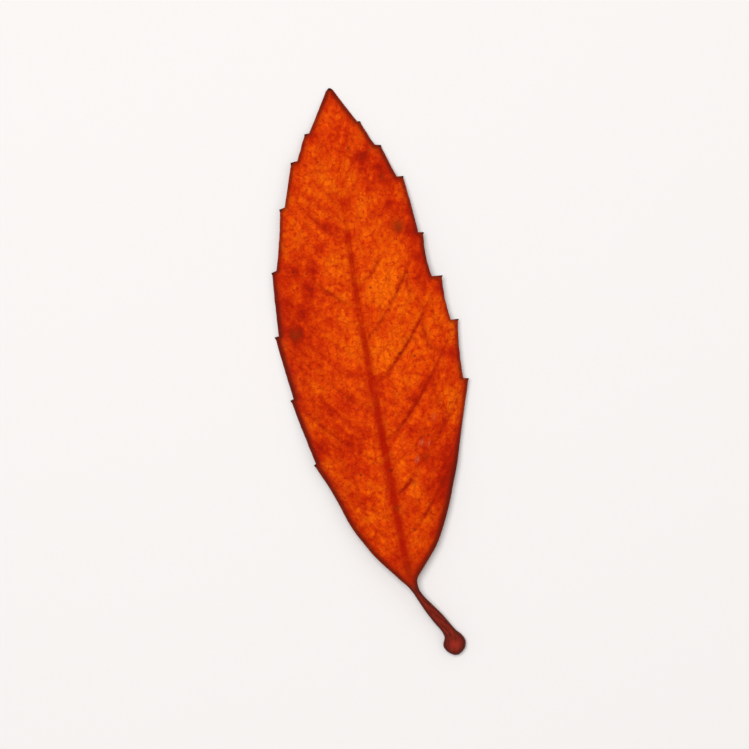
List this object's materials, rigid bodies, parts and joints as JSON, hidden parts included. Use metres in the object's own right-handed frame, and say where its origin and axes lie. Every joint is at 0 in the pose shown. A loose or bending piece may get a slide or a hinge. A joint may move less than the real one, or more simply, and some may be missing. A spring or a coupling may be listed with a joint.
{
  "type": "autumn leaf",
  "caption": "Dried autumn leaf with a saw-toothed lance-shaped blade, raised veins and a short bent stalk, lying face up.",
  "frame": {"origin": "under the middle of the leaf's box, on the surface that the leaf lies on", "axes": "+Y from the stalk to the tip, +X to the leaf's right seen from above, +Z out of its upper face"},
  "size_m": [0.03, 0.0944, 0.0048],
  "materials": {
    "leaf": "dry leaf, orange-red with a dark margin, faint satin sheen"
  },
  "bodies": {
    "root": {"leaf": "leaf"}
  },
  "joints": []
}
